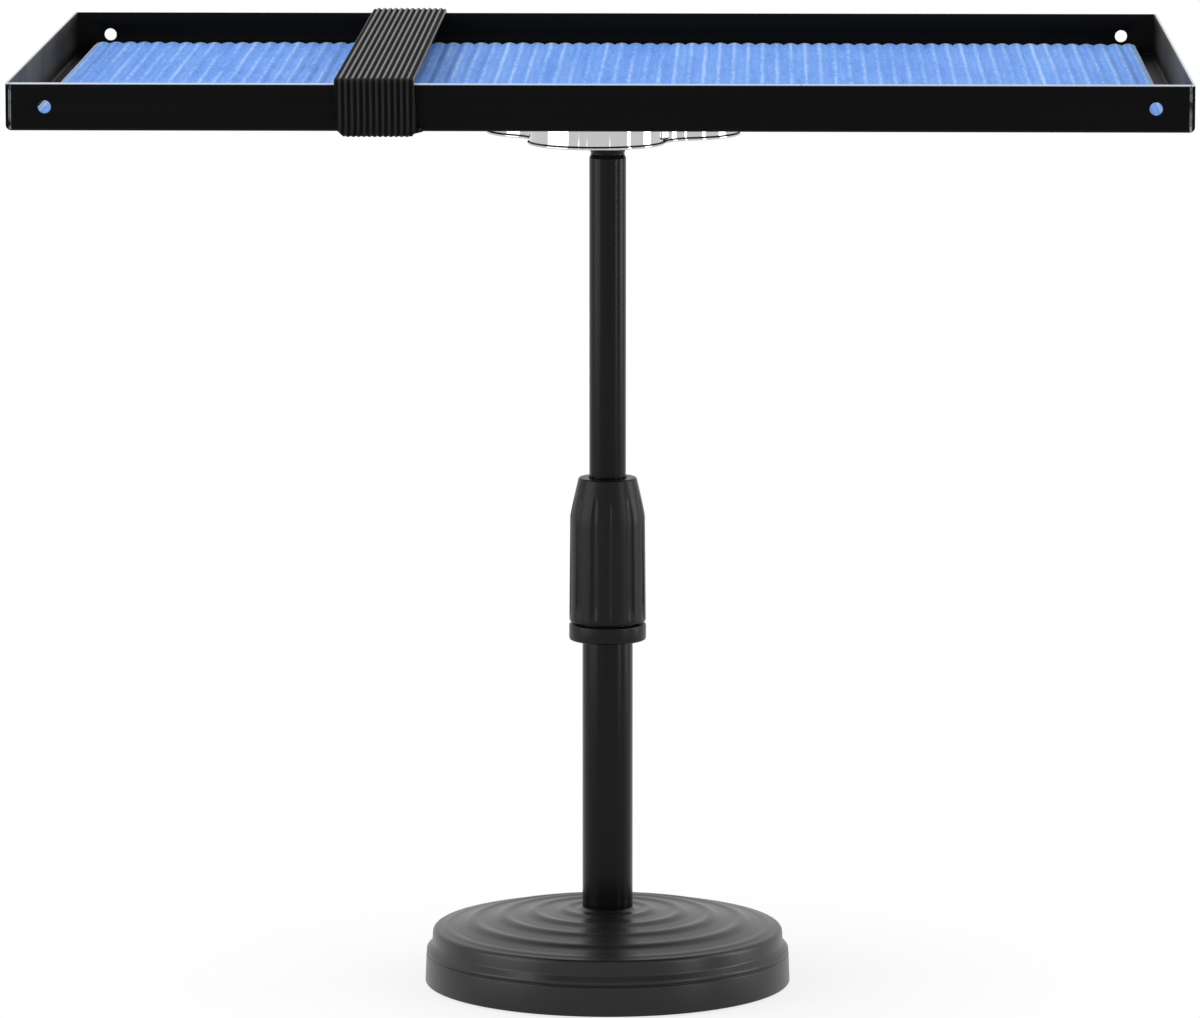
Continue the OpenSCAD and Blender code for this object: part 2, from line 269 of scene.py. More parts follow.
class Shader:
    """A material, or the world, that is built node by node."""

    def __init__(self, owner):
        owner.use_nodes = True
        self.owner = owner
        self.tree = owner.node_tree
        self.tree.nodes.clear()

    def add(self, kind, settings=None, *values, output=0, **named):
        """Adds a node, sets it, fills its sockets in order and by name, and returns an output."""
        node = self.tree.nodes.new(kind)
        for key, setting in (settings or {}).items():
            setattr(node, key, setting)
        pairs = list(zip(node.inputs, values))
        pairs += [(node.inputs[key.replace("_", " ")], value) for key, value in named.items()]
        for socket, value in pairs:
            self.fill(socket, value)
        return None if output is None else Value(self, node.outputs[output])

    def fill(self, socket, value):
        """Links a value to a socket, or sets the socket's own number or colour."""
        if isinstance(value, Value):
            self.tree.links.new(value.socket, socket)
        elif value is not None:
            if hasattr(value, "__len__") and len(socket.default_value) == 4 and len(value) == 3:
                value = (*value, 1)
            socket.default_value = value

    def place(self):
        """The place on the object, in metres."""
        return self.add("ShaderNodeTexCoord", output="Object")

    def split(self, vector, axis):
        """One axis of a vector."""
        return self.add("ShaderNodeSeparateXYZ", None, vector, output=axis)

    def stretched(self, scale):
        """The place on the object, scaled along each axis."""
        return self.add("ShaderNodeMapping", None, self.place(), Scale=scale)

    def noise(self, scale, detail=4.0, rough=0.5, vector=None):
        """Smooth noise from 0 to 1, with features of about 1 / scale metres."""
        vector = vector or self.place()
        return self.add(
            "ShaderNodeTexNoise", None, Vector=vector, Scale=scale, Detail=detail, Roughness=rough
        )

    def cells(self, scale):
        """The distance to the nearest cell's centre."""
        return self.add("ShaderNodeTexVoronoi", None, Vector=self.place(), Scale=scale)

    def between(self, value, low, high, out_low=0.0, out_high=1.0):
        """Maps a value from one range to another, and keeps it there."""
        return self.add("ShaderNodeMapRange", None, value, low, high, out_low, out_high)

    def mix(self, factor, first, second):
        """A colour between two."""
        before = (None,) * 5  # the node's other factor, and its sockets for numbers and vectors
        settings = {"data_type": "RGBA"}
        return self.add("ShaderNodeMix", settings, factor, *before, first, second, output=2)

    def bump(self, height, distance):
        """A normal from a height of 0 to 1 that stands for a distance in metres."""
        return self.add("ShaderNodeBump", None, Distance=distance, Height=height)

    def surface(self, **sockets):
        """Ends the material in a Principled shader with these sockets."""
        end = self.add("ShaderNodeBsdfPrincipled", None, **sockets)
        self.add("ShaderNodeOutputMaterial", None, end, output=None)
        return self.owner


def shader(name):
    """A new material's shader."""
    return Shader(bpy.data.materials.new(name))


# ---- Finishes ----


def coat(name, base, rough, grain=900.0, grain_depth=0.02, specular=0.5):
    """A sprayed coat with fine orange peel, faint dust and a slightly uneven gloss."""
    s = shader(name)
    peel = s.noise(grain, 3.0, 0.45)
    cloud = s.noise(14.0, 4.0, 0.6)
    dust = s.between(s.cells(2600.0), 0.02, 0.05, 1.0, 0.0)
    lighter = [min(1.0, c * 1.6 + 0.0006) for c in base]
    tint = s.mix(cloud * 0.5 + dust * 0.3, base, lighter)
    return s.surface(
        Base_Color=tint,
        Roughness=rough + (cloud - 0.5) * 0.08 + (peel - 0.5) * 0.05,
        Specular_IOR_Level=specular,
        Normal=s.bump(peel, grain_depth * MM),
    )


def sheet_coat(name, base, half, rim, seam):
    """The tray's coat, with a painted highlight along its sheared edges and corner seams that
    partly stands for coat worn through to bare zinc, and painted light on the inner faces of its
    end walls.
    """
    s = shader(name)
    peel = s.noise(800.0, 3.0, 0.45)
    cloud = s.noise(9.0, 4.0, 0.6)
    edge_breakup = s.noise(260.0, 4.0, 0.65)
    here = s.place()
    x, y, z = s.split(here, "X").abs(), s.split(here, "Y").abs(), s.split(here, "Z")
    outer_x = s.between(x, half[0] - 1.0 * MM, half[0] - 0.8 * MM)
    outer_y = s.between(y, half[1] - 1.0 * MM, half[1] - 0.8 * MM)
    outer = 1 - (1 - outer_x) * (1 - outer_y)
    # painted highlight, partly worn coat: a pale, slightly metallic line along the sheared top
    # edges of the outer faces and along the front corner seams
    edge = s.between(z, rim - 0.78 * MM, rim - 0.45 * MM) * s.between(edge_breakup, 0.24, 0.34) * outer
    corner = s.between((x - seam).abs(), 0.60 * MM, 0.30 * MM)
    corner = corner * s.between(edge_breakup, 0.35, 0.5) * outer_y
    painted_edge_highlight_and_wear = 1 - (1 - edge) * (1 - corner * 0.45)
    tint = s.mix(cloud * 0.6, base, [c * 1.7 + 0.0004 for c in base])
    # painted light: the inner faces of the end walls are lightened to a warm grey towards the front
    inside = s.between(x, half[0] - 1.8 * MM, half[0] - 1.55 * MM) * (1 - outer)
    toward_front = s.between(s.split(here, "Y"), 0.8 * half[1], -0.6 * half[1])
    painted_wall_light = inside * toward_front * s.between(cloud, 0.3, 0.7)
    tint = s.mix(painted_wall_light, tint, (0.15, 0.14, 0.115))
    # the edge lines take a pale bluish grey: painted highlight, partly bare zinc
    return s.surface(
        Base_Color=s.mix(painted_edge_highlight_and_wear, tint, (0.60, 0.66, 0.72)),
        Metallic=edge * 0.2,
        Roughness=0.46 + (cloud - 0.5) * 0.08 + (peel - 0.5) * 0.05,
        Specular_IOR_Level=0.03,
        Normal=s.bump(peel, 0.010 * MM),
    )


def moulded(name, base, rough, depth=0.012, specular=0.5):
    """Moulded plastic with a spark-eroded grain."""
    s = shader(name)
    grain = s.noise(2400.0, 2.0, 0.6)
    cloud = s.noise(25.0, 3.0, 0.5)
    tint = s.mix(cloud, [c * 0.8 for c in base], [c * 1.25 for c in base])
    return s.surface(
        Base_Color=tint,
        Roughness=rough + (cloud - 0.5) * 0.12,
        Specular_IOR_Level=specular,
        Normal=s.bump(grain, depth * MM),
    )


def turned_metal(name, base, rough, pitch=0.25, depth=0.006):
    """Turned metal with fine tool rings round the pole's axis."""
    s = shader(name)
    rings = s.noise(1.0 / (pitch * MM), 2.0, 0.6, s.stretched((0.02, 0.02, 1.0)))
    stain = s.noise(120.0, 5.0, 0.6)
    tint = s.mix(stain, [c * 0.82 for c in base], base)
    return s.surface(
        Base_Color=tint,
        Metallic=1.0,
        Roughness=rough + (rings - 0.5) * 0.18 + (stain - 0.5) * 0.1,
        Normal=s.bump(rings, depth * MM),
    )


def chrome(name, base):
    """Mirror chrome with faint polishing haze."""
    s = shader(name)
    haze = s.noise(60.0, 4.0, 0.6)
    wave = s.noise(90.0, 1.0, 0.3)
    tint = s.mix(haze, [c * 0.94 for c in base], base)
    return s.surface(
        Base_Color=tint,
        Metallic=1.0,
        Roughness=0.035 + haze * 0.05,
        Normal=s.bump(wave, 0.05 * MM),
    )


def rubber(name, base):
    """Matte rubber with a soft bloom."""
    s = shader(name)
    bloom = s.noise(40.0, 5.0, 0.6)
    grain = s.noise(1800.0, 2.0, 0.5)
    tint = s.mix(bloom, base, [c * 1.8 + 0.004 for c in base])
    return s.surface(
        Base_Color=tint,
        Roughness=0.72 + (bloom - 0.5) * 0.2,
        Normal=s.bump(grain, 0.02 * MM),
    )


def pressed_fibre(name, base):
    """Pressed fibre with short flecks."""
    s = shader(name)
    fleck = s.noise(1500.0, 3.0, 0.7, s.stretched((1.0, 3.0, 1.0)))
    tint = s.mix(fleck, [c * 0.6 for c in base], [c * 1.4 for c in base])
    return s.surface(Base_Color=tint, Roughness=0.8, Normal=s.bump(fleck, 0.03 * MM))


def mat_foam(name, light, dark, highlight_and_core, pitch, low, high):
    """The mat's blue foam: speckled skin, a painted highlight on the rib crests and cut edges,
    where it partly shows the foam's paler inside, and painted shade on the rib flanks and the lower
    cut sides.
    """
    s = shader(name)
    here = s.place()
    x, y = s.split(here, "X"), s.split(here, "Y")
    drift = s.noise(12.0, 2.0, 0.5, s.stretched((1.0, 2.0, 1.0)))
    across = ((x - low.x) / pitch + (drift - 0.5) * 0.12).fract() - 0.5
    speck = s.noise(1050.0, 3.0, 0.72, s.stretched((1.0, 0.14, 1.0)))
    patch = s.noise(330.0, 3.0, 0.6, s.stretched((1.0, 0.12, 1.0)))
    streak = s.noise(130.0, 2.0, 0.55, s.stretched((1.0, 0.03, 1.0)))
    cloud = s.noise(16.0, 4.0, 0.6)
    shade = s.between(speck * 0.45 + patch * 0.3 + streak * 0.25 + cloud * 0.12, 0.43, 0.70)
    tint = s.mix(shade, dark, light)
    # painted highlight: pale streaks along the rib crests
    painted_crest_highlight = s.between(across.abs(), 0.15, 0.02) * s.between(streak * 0.5 + speck * 0.5, 0.40, 0.62)
    tint = s.mix(painted_crest_highlight * 0.55, tint, highlight_and_core)
    # painted shade: darker bands on the flanks of the ribs
    painted_flank_shade = s.between((across.abs() - 0.27).abs(), 0.13, 0.02)
    tint = s.mix(painted_flank_shade * s.between(patch, 0.25, 0.6) * 0.42, tint, dark)
    middle = ((low.x + high.x) / 2, (low.y + high.y) / 2)
    half_x, half_y = (high.x - low.x) / 2, (high.y - low.y) / 2
    # painted highlight along the cut edges and the tips of the front and rear edges, partly the
    # foam's paler inside
    end = s.between((x - middle[0]).abs(), half_x - 2.3 * MM, half_x - 1.3 * MM)
    side = s.between((y - middle[1]).abs(), half_y - 3.5 * MM, half_y - 1.5 * MM)
    cut = 1 - (1 - end * 0.85) * (1 - side * s.between(speck, 0.42, 0.58) * 0.8)
    tint = s.mix(cut, tint, highlight_and_core)
    # painted shade: the lower part of the mat's cut sides is darkened to a deep blue, where the
    # tray's walls shade it
    wall = s.between(s.split(here, "Z"), high.z - 2.4 * MM, high.z - 3.4 * MM)
    tint = s.mix(wall, tint, [c * 0.25 for c in dark])
    return s.surface(
        Base_Color=tint,
        Roughness=0.72 + (patch - 0.5) * 0.2,
        Specular_IOR_Level=0.2,
        Normal=s.bump(speck * 0.6 + patch * 0.6, 0.16 * MM),
    )


def webbing(name, dark, light, pitch, start):
    """Elastic webbing: glossy yarn on the ribs with a painted highlight in a lighter colour on
    their crowns, dull dark gaps, and picks across the band.
    """
    s = shader(name)
    here = s.place()
    x, y, z = (s.split(here, axis) for axis in "XYZ")
    across = ((x - start) / pitch).fract() - 0.5
    crown = s.between(across.abs(), 0.27, 0.13)
    picks = ((y + z) * (2 * math.pi / (0.9 * MM)) + x * 900.0).sin() * 0.5 + 0.5
    fuzz = s.noise(2600.0, 3.0, 0.7, here)
    worn = s.noise(45.0, 3.0, 0.6, here)
    # painted highlight: the crowns of the ribs are lighter
    tint = s.mix(crown * (fuzz * 0.5 + worn * 0.3 + 0.35), dark, light)
    return s.surface(
        Base_Color=tint,
        Roughness=0.97 - crown * (0.62 + worn * 0.10) + (fuzz - 0.5) * 0.08,
        Specular_IOR_Level=0.12,
        Normal=s.bump(picks * 0.5 + fuzz * 0.6, 0.05 * MM),
    )


# ---- Mesh helpers ----


def arc(x, y, radius, start, end, steps):
    """Points along an arc round a centre, with angles in degrees."""
    turns = [math.radians(start + (end - start) * i / steps) for i in range(steps + 1)]
    return [(x + radius * math.cos(t), y + radius * math.sin(t)) for t in turns]


def eased(corners, steps=5):
    """An outline whose corners, given as (x, y, radius), are rounded by arcs."""
    points = []
    count = len(corners)
    for i, corner in enumerate(corners):
        here = Vector(corner[:2])
        radius = corner[2] if len(corner) > 2 else 0.0
        before = Vector(corners[i - 1][:2]) - here
        after = Vector(corners[(i + 1) % count][:2]) - here
        half = before.angle(after, 0.0) / 2
        if radius <= 0 or not 0.01 < half < 1.57:
            points.append(tuple(here))
            continue
        reach = min(radius / math.tan(half), 0.49 * before.length, 0.49 * after.length)
        radius = reach * math.tan(half)
        first = here + before.normalized() * reach
        last = here + after.normalized() * reach
        middle = here + (before.normalized() + after.normalized()).normalized() * (
            radius / math.sin(half)
        )
        a = math.atan2(first.y - middle.y, first.x - middle.x)
        b = math.atan2(last.y - middle.y, last.x - middle.x)
        sweep = (b - a + math.pi) % (2 * math.pi) - math.pi
        for k in range(steps + 1):
            t = a + sweep * k / steps
            points.append((middle.x + radius * math.cos(t), middle.y + radius * math.sin(t)))
    return points


def finish_mesh(name, bm, material, sharp=math.radians(38), recalculate=True):
    """Turns a bmesh in metres into an object, smooth except at its sharp edges."""
    bmesh.ops.remove_doubles(bm, verts=bm.verts, dist=0.002 * MM)
    if recalculate:
        bmesh.ops.recalc_face_normals(bm, faces=bm.faces)
    for face in bm.faces:
        face.smooth = True
    for edge in bm.edges:
        edge.smooth = len(edge.link_faces) != 2 or edge.calc_face_angle(0.0) < sharp
    mesh = bpy.data.meshes.new(name)
    bm.to_mesh(mesh)
    bm.free()
    mesh.materials.append(material)
    piece = bpy.data.objects.new(name, mesh)
    bpy.context.scene.collection.objects.link(piece)
    return piece


def spun(outline, steps=128):
    """A bmesh of a closed outline, in millimetres of radius and height, spun round the pole."""
    bm = bmesh.new()
    points = [bm.verts.new((r * MM, 0, z * MM)) for r, z in outline]
    edges = [bm.edges.new((points[i - 1], points[i])) for i in range(len(points))]
    bmesh.ops.spin(
        bm,
        geom=points + edges,
        cent=(0, 0, 0),
        axis=(0, 0, 1),
        angle=2 * math.pi,
        steps=steps,
        use_merge=True,
    )
    bmesh.ops.remove_doubles(bm, verts=bm.verts, dist=0.0005 * MM)
    lone = [e for e in bm.edges if not e.link_faces]
    bmesh.ops.delete(bm, geom=lone, context="EDGES")
    return bm


def joined(bm, other):
    """Adds another bmesh's geometry to the first and frees the other."""
    mesh = bpy.data.meshes.new("joining")
    other.to_mesh(mesh)
    other.free()
    bm.from_mesh(mesh)
    bpy.data.meshes.remove(mesh)
    return bm


def bar(reach, width, height, soft, turn):
    """A straight rib with softened long edges, turned about the pole's axis."""
    bm = bmesh.new()
    bmesh.ops.create_cube(bm, size=1.0)
    size = (reach[1] - reach[0], width, height[1] - height[0])
    bmesh.ops.scale(bm, verts=bm.verts, vec=[v * MM for v in size])
    long_edges = [e for e in bm.edges if abs(e.verts[0].co.x - e.verts[1].co.x) > MM]
    bmesh.ops.bevel(
        bm, geom=long_edges, offset=soft * MM, segments=3, profile=0.5, affect="EDGES", material=-1
    )
    middle = Vector((sum(reach) / 2, 0, sum(height) / 2)) * MM
    bmesh.ops.translate(bm, verts=bm.verts, vec=middle)
    bmesh.ops.rotate(bm, verts=bm.verts, cent=(0, 0, 0), matrix=Matrix.Rotation(turn, 3, "Z"))
    return bm


def stacked(rings, closed_path=False):
    """A bmesh through rings of equally many points: each is extruded on to the next."""
    bm = bmesh.new()
    verts = [bm.verts.new(p) for p in rings[0]]
    edges = [bm.edges.new((verts[i - 1], verts[i])) for i in range(len(verts))]
    first = edges
    count = len(verts)
    for ring in rings[1:]:
        made = bmesh.ops.extrude_edge_only(bm, edges=edges)["geom"]
        index = {v: i for i, v in enumerate(verts)}
        fresh = [g for g in made if isinstance(g, bmesh.types.BMVert)]
        matched = [None] * count
        for v in fresh:
            for e in v.link_edges:
                other = e.other_vert(v)
                if other in index:
                    matched[index[other]] = v
                    break
        for v, p in zip(matched, ring):
            v.co = p
        verts = matched
        edges = [g for g in made if isinstance(g, bmesh.types.BMEdge)]
    if closed_path:
        bmesh.ops.bridge_loops(bm, edges=first + edges)
    return bm


def refined_copy(node, name, material, width):
    """A merged copy of a CAD node with its edges sharper than 30 degrees eased by a bevel."""
    bm = bmesh.new()
    bm.from_mesh(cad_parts[node].data)
    bmesh.ops.remove_doubles(bm, verts=bm.verts, dist=0.003 * MM)
    bmesh.ops.dissolve_limit(
        bm, angle_limit=math.radians(0.5), verts=bm.verts, edges=bm.edges, delimit={"NORMAL"}
    )
    hard = [
        e
        for e in bm.edges
        if len(e.link_faces) == 2 and e.calc_face_angle(0.0) > math.radians(30)
    ]
    bmesh.ops.bevel(
        bm,
        geom=hard,
        offset=width * MM,
        segments=2,
        profile=0.5,
        affect="EDGES",
        material=-1,
        clamp_overlap=True,
    )
    return finish_mesh(name, bm, material, sharp=math.radians(50), recalculate=False)


def seat(piece, body, nodes):
    """Makes a piece ride on a body in place of its CAD nodes."""
    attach(piece, body)
    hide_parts(*nodes)
    return piece


def repaint(node, material):
    """Gives a CAD node that stays in view its finish."""
    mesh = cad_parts[node].data
    mesh.materials.clear()
    mesh.materials.append(material)


# ---- Pieces ----


class PieceOperator:
    """What the operators share."""

    bl_options = {"REGISTER", "UNDO"}

    @property
    def sizes(self):
        """The settings of the tray stand."""
        return bpy.context.scene.tray_stand


class TRAYSTAND_OT_base(PieceOperator, Operator):
    """Add the ringed cast base with its rubber pad, bolt and washer"""

    bl_idname = "traystand.base"
    bl_label = "Base"

    def dome(self, r, low, crown, edge):
        """Height of the dome with its rings, at a radius."""
        s = self.sizes.base
        wave = math.cos(2 * math.pi * (r - s.ring_radius / MM) / (s.ring_pitch / MM))
        ring = 2 * ((1 + wave) / 2) ** 2.2 - 0.8
        fade = max(0.0, min(1.0, (edge - r) / 4, (r - low) / 3))
        return crown - s.dome_drop / MM * (r / edge) ** 2.2 + ring * s.ring / MM * fade

    def execute(self, context):
        s = self.sizes.base
        finish = self.sizes.finish
        radius = s.radius / MM
        tube = node_mm("lower_tube", 0)[1] + 0.05
        foot, top = 0.8, node_mm("base", 2)[1]
        crease, step, hollow = s.crease / MM, s.step / MM, s.hollow / MM
        crown = top - 0.8
        edge = radius - 7.4
        brim = crown - s.dome_drop / MM
        pad = node_mm("base_pad", 0)[1] + 0.05
        pad_top = node_mm("base_pad", 2)[1] + 0.05
        socket = node_mm("lower_tube", 2)[0]
        bolt_hole, boss, boss_foot, rim = 4.3, 20.0, 12.0, 68.0
        outline = eased(
            [
                (pad, pad_top),
                (pad, foot, 0.3),
                (radius, foot, 0.7),
                (radius - 0.5, crease - 0.6, 0.4),
                (radius - 1.3, crease, 0.25),
                (radius - 0.6, crease + 0.6, 0.8),
                (radius - 0.65, crease + 1.7, 1.2),
                (radius - 3.1, crease + step, 1.2),
                (radius - 3.4, brim - 0.4, 3.8),
                (radius - 7.3, brim + 0.1),
            ]
        )[:-1]
        low, steps = tube + 1.5, 120
        rings = [edge - (edge - low) * i / steps for i in range(steps + 1)]
        outline += [(r, self.dome(r, low, crown, edge)) for r in rings]
        outline += [(tube + 0.9, crown + 0.2), (tube + 0.4, crown + 0.5), (tube + 0.1, top - 0.05)]
        outline += [(tube, top - 0.1), (tube, socket), (bolt_hole, socket), (bolt_hole, boss_foot)]
        outline += [(boss, boss_foot), (boss, hollow), (rim, hollow), (rim, pad_top)]
        bm = spun(outline, 180)
        for i in range(6):
            turn = math.radians(60 * i + 30)
            reach = (boss - 0.6, rim + 0.6)
            bm = joined(bm, bar(reach, s.rib / MM, (5.0, hollow + 0.3), 0.8, turn))
        coat_black = coat("cast_coat", finish.powder, 0.33, 420.0, 0.006, 0.32)
        body = finish_mesh("base_casting", bm, coat_black)
        seat(body, "stand", ["base"])

        pad, pad_top = pad - 0.05, pad_top - 0.05
        pad_outline = eased([(0, 0), (pad, 0, 0.6), (pad, pad_top), (0, pad_top)])
        sole = finish_mesh("base_sole", spun(pad_outline, 128), rubber("sole_rubber", (0.012,) * 3))
        seat(sole, "stand", ["base_pad"])

        zinc = turned_metal("zinc_plate", (0.55, 0.56, 0.57), 0.34)
        repaint("base_washer", zinc)
        bolt = refined_copy("base_bolt", "base_hex_bolt", zinc, 0.3)
        seat(bolt, "stand", ["base_bolt"])
        return {"FINISHED"}


class TRAYSTAND_OT_pole(PieceOperator, Operator):
    """Add the two tubes, the plug and the threaded top"""

    bl_idname = "traystand.pole"
    bl_label = "Pole"

    def execute(self, context):
        s = self.sizes.pole
        finish = self.sizes.finish
        paint = coat("tube_coat", finish.tube_paint, 0.23, 1100.0, 0.010, specular=0.14)
        steel = turned_metal("turned_steel", (0.60, 0.61, 0.63), 0.3)

        low, high = node_mm("lower_tube", 2)
        radius = node_mm("lower_tube", 0)[1]
        bore = radius - s.lower_wall / MM
        outline = eased(
            [(bore, low, 0.3), (radius, low, 0.4), (radius, high, 0.4), (bore, high, 0.3)]
        )
        lower = finish_mesh("lower_pole", spun(outline, 96), paint)
        seat(lower, "stand", ["lower_tube"])

        low, high = node_mm("upper_tube", 2)
        radius = node_mm("upper_tube", 0)[1]
        bore = radius - s.upper_wall / MM
        crimp = high - s.crimp_drop / MM
        depth = s.crimp_depth / MM
        half = 1.9
        groove = [
            (radius, crimp - half, 1.2),
            (radius - depth, crimp, 1.4),
            (radius, crimp + half, 1.2),
        ]
        outline = eased(
            [(bore, low, 0.3), (radius, low, 0.4), *groove, (radius, high, 0.5), (bore, high, 0.2)]
        )
        upper = finish_mesh("upper_pole", spun(outline, 96), paint)
        seat(upper, "pole", ["upper_tube"])

        repaint("lower_plug", steel)
        repaint("thread_plug", steel)
        repaint("swivel_washer", pressed_fibre("fibre", (0.12, 0.07, 0.04)))
        repaint("guide_bush", moulded("bush_nylon", (0.06, 0.06, 0.065), 0.5))
        return {"FINISHED"}


class TRAYSTAND_OT_clutch(PieceOperator, Operator):
    """Add the fluted twist grip, its collar, the split collet and the brass ring"""

    bl_idname = "traystand.clutch"
    bl_label = "Clutch"

    def flute_limit(self, angle, floor):
        """Radius at which a groove with its floor at a radius cuts the grip, if it does."""
        s = self.sizes.clutch
        period = 2 * math.pi / s.flutes
        offset = (angle - s.flute_turn + period / 2) % period - period / 2
        cutter = s.flute_radius / MM
        centre = floor + cutter
        inside = cutter**2 - (centre * math.sin(offset)) ** 2
        return centre * math.cos(offset) - math.sqrt(inside) if inside > 0 else None

    def execute(self, context):
        s = self.sizes.clutch
        plastic = moulded("clutch_plastic", self.sizes.finish.plastic, 0.33, specular=0.16)
        low, high = node_mm("clutch_grip", 2)
        radius = node_mm("clutch_grip", 0)[1]
        tube = node_mm("upper_tube", 0)[1] + 0.3
        bore = s.neck_radius / MM + 0.08
        inner_top = node_mm("clutch_ring", 2)[1] + 0.3
        nose = high - s.nose / MM
        nose_radius = s.nose_radius / MM
        run = s.flute_run / MM
        draft = 0.4
        side = [(radius - draft * k / 12, low + 2 + (nose - low - 2) * k / 12) for k in range(13)]
        narrowing = radius - draft - nose_radius
        taper = [
            (radius - draft - narrowing * (k / 14) ** 1.12, nose + (high - nose) * k / 14)
            for k in range(1, 14)
        ]
        outline = eased(
            [(bore, inner_top), (bore, low, 0.3), (radius, low, 1.3), (radius, low + 2)]
        )
        outline = outline[:-1] + side + taper
        outline += eased(
            [taper[-1], (nose_radius, high, 1.1), (tube, high, 0.5), (tube, inner_top)]
        )[1:]
        steps_per_flute = 26
        bm = spun(outline, s.flutes * steps_per_flute)
        start = low + 2.4
        for v in bm.verts:
            r = math.hypot(v.co.x, v.co.y) / MM
            z = v.co.z / MM
            if z <= start or r < bore + 0.5:
                continue
            up = max(0.0, z - nose)
            floor = radius - s.flute_depth / MM
            floor -= up * ((floor - radius + draft) / run + narrowing / (high - nose))
            if up > run:
                continue
            limit = self.flute_limit(math.atan2(v.co.y, v.co.x), floor)
            if limit is not None and limit < r:
                rise = min(1.0, (z - start) / 1.6)
                target = r + (limit - r) * math.sin(rise * math.pi / 2)
                v.co.x *= target / r
                v.co.y *= target / r
        grip = finish_mesh("twist_grip", bm, plastic, sharp=math.radians(60))
        seat(grip, "grip", ["clutch_grip"])

        low, neck_top = node_mm("clutch_collar", 2)
        radius = node_mm("clutch_collar", 0)[1]
        collar_top = node_mm("clutch_grip", 2)[0] - 0.8
        tube_top = node_mm("lower_tube", 2)[1]
        lower = node_mm("lower_tube", 0)[1] + 0.05
        neck = s.neck_radius / MM
        outline = eased(
            [
                (lower, low, 0.3),
                (radius, low, 1.0),
                (radius, collar_top, 0.9),
                (neck, collar_top, 0.2),
                (neck, neck_top, 0.4),
                (tube, neck_top, 0.3),
                (tube, tube_top),
                (lower, tube_top),
            ]
        )
        collar = finish_mesh("clutch_foot", spun(outline, 128), plastic)
        seat(collar, "stand", ["clutch_collar"])
        repaint("clutch_collet", moulded("acetal", (0.62, 0.60, 0.52), 0.4))
        repaint("clutch_ring", turned_metal("brass", (0.72, 0.50, 0.22), 0.25))
        return {"FINISHED"}


